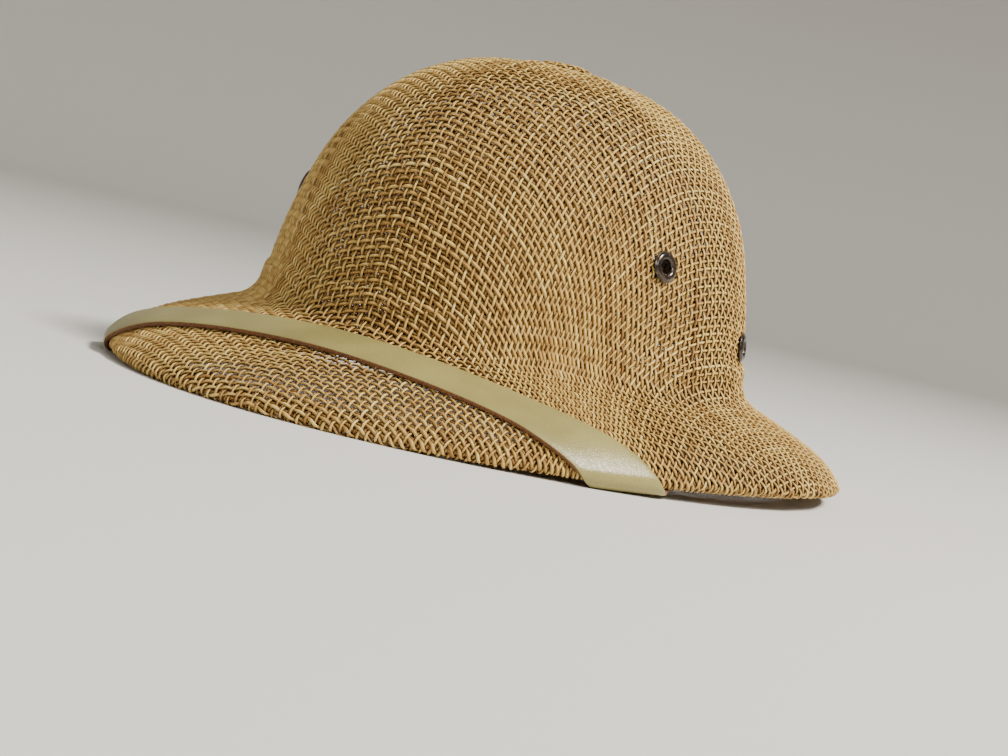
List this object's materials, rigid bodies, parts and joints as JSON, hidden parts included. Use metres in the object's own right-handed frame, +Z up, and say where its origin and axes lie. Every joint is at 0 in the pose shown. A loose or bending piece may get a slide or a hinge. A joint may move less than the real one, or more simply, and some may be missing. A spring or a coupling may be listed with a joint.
{
  "type": "pith helmet",
  "caption": "Pith helmet pressed from open straw weave, with a domed crown, a sloping brim with a turned edge, ventilation eyelets and a chin strap stored over the front",
  "frame": {"origin": "on the surface that the helmet rests on, under the middle of its length and width", "axes": "+X is the wearer's left, +Y is the back, +Z is up; the front of the brim is at -Y"},
  "size_m": [0.2724, 0.3348, 0.1417],
  "materials": {
    "straw": "open plain weave of round straw yarn, dry and matte",
    "strap": "fine-grained khaki leather cloth with a brown backing, satin",
    "eyelet": "dark bronze enamel, glossy"
  },
  "bodies": {
    "root": {"woven_shell": "straw", "chin_strap": "strap", "eyelet_left_front": "eyelet", "eyelet_left_rear": "eyelet", "eyelet_right_front": "eyelet", "eyelet_right_rear": "eyelet", "strap_rivet_left": "eyelet", "strap_rivet_right": "eyelet"}
  },
  "joints": []
}
